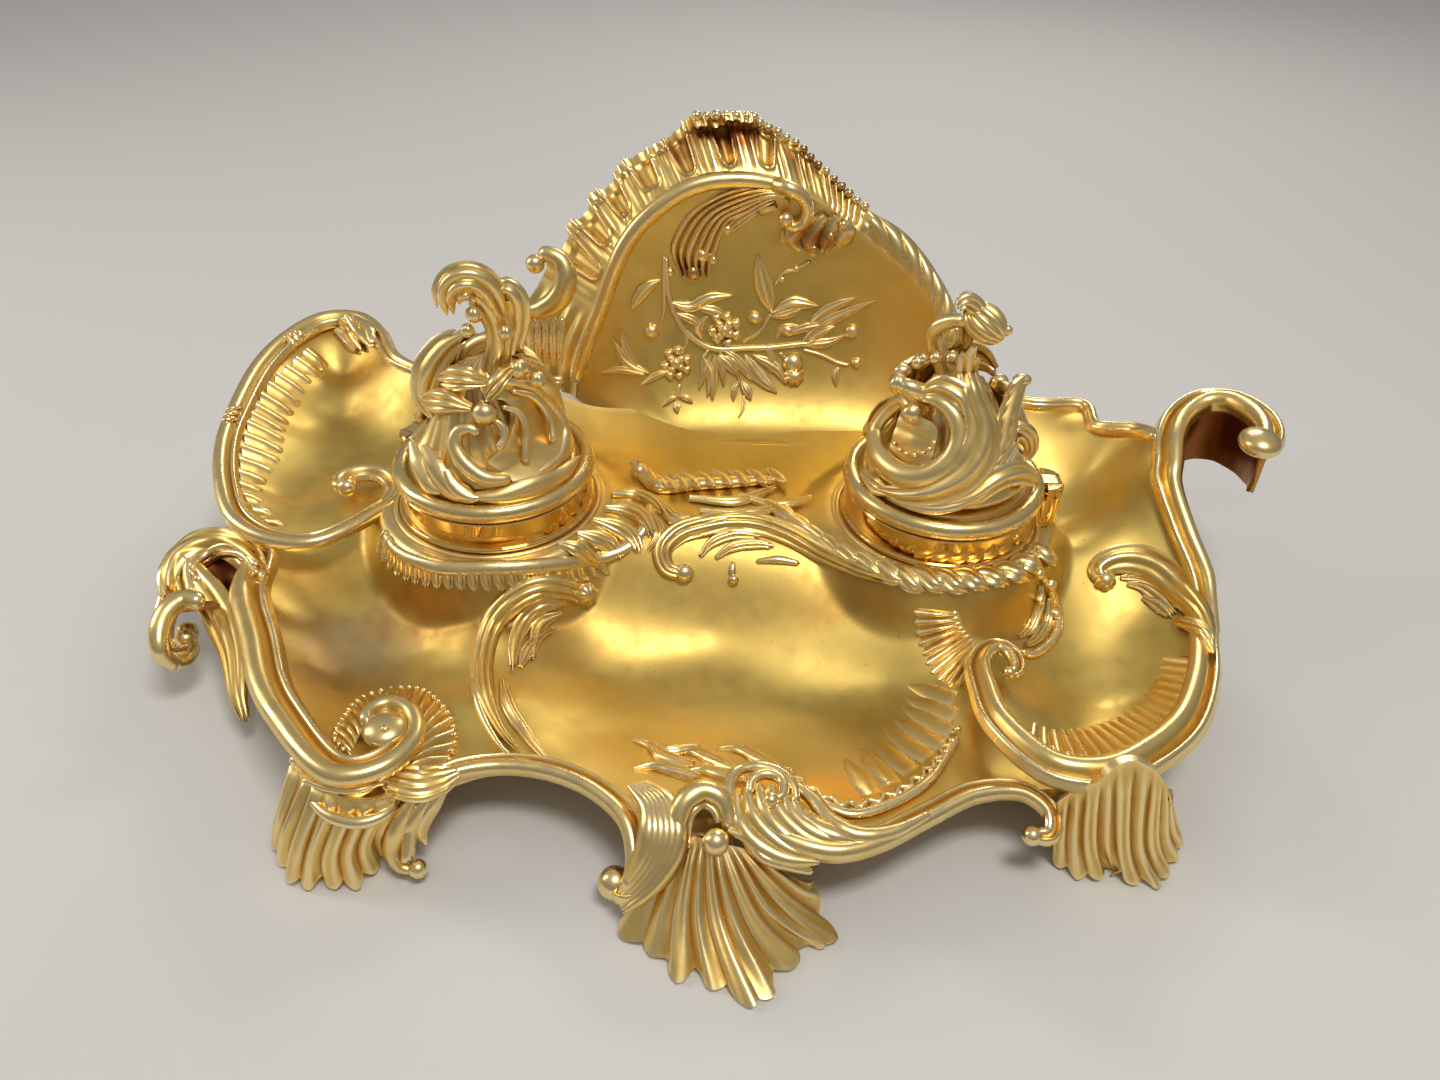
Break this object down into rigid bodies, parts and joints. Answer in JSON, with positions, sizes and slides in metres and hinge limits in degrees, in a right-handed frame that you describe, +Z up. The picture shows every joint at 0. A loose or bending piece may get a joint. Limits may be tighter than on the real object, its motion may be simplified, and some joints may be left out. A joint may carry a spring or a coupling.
{
  "type": "desk inkstand",
  "caption": "Gilt-bronze desk inkstand: dished tray with a fluted back shell, lidded ink pots under sculpted finials, and shell feet.",
  "frame": {"origin": "middle of the inkstand's bounding box, on the desk surface", "axes": "+X to the right seen from the front, +Y to the back shell, +Z up"},
  "size_m": [0.3684, 0.2638, 0.149],
  "materials": {
    "gilt_tray": "satin fire-gilt bronze",
    "gilt_foot": "satin fire-gilt bronze",
    "gilt_lid": "satin fire-gilt bronze",
    "gilt_finial": "matt and burnished fire-gilt bronze",
    "burnished_pot": "burnished gilt",
    "brass_nut": "plain turned brass",
    "brass_pin": "plain brass wire",
    "steel_screw": "dull steel",
    "porcelain_liner": "glazed white"
  },
  "bodies": {
    "stand": {"front_centre_foot": "gilt_foot", "front_centre_foot_screw": "steel_screw", "front_left_foot": "gilt_foot", "front_left_foot_screw": "steel_screw", "front_right_foot": "gilt_foot", "front_right_foot_screw": "steel_screw", "left_hinge_pin": "brass_pin", "left_liner": "porcelain_liner", "left_pot": "burnished_pot", "left_pot_nut": "brass_nut", "rear_left_foot": "gilt_foot", "rear_left_foot_screw": "steel_screw", "rear_right_foot": "gilt_foot", "rear_right_foot_screw": "steel_screw", "right_hinge_pin": "brass_pin", "right_liner": "porcelain_liner", "right_pot": "burnished_pot", "right_pot_nut": "brass_nut", "tray_casting": "gilt_tray"},
    "left_lid": {"left_lid": "gilt_lid", "left_finial": "gilt_finial", "left_finial_screw": "steel_screw"},
    "right_lid": {"right_lid": "gilt_lid", "right_finial": "gilt_finial", "right_finial_screw": "steel_screw"}
  },
  "joints": [
    {"name": "left_lid_hinge", "type": "hinge", "parent": "stand", "child": "left_lid", "pos_m": [-0.10958, 0.04447, 0.0574], "axis": [-0.5, -0.866, 0], "range_deg": [0, 95]},
    {"name": "right_lid_hinge", "type": "hinge", "parent": "stand", "child": "right_lid", "pos_m": [0.10821, 0.02577, 0.0574], "axis": [0, 1, 0], "range_deg": [0, 95]}
  ]
}
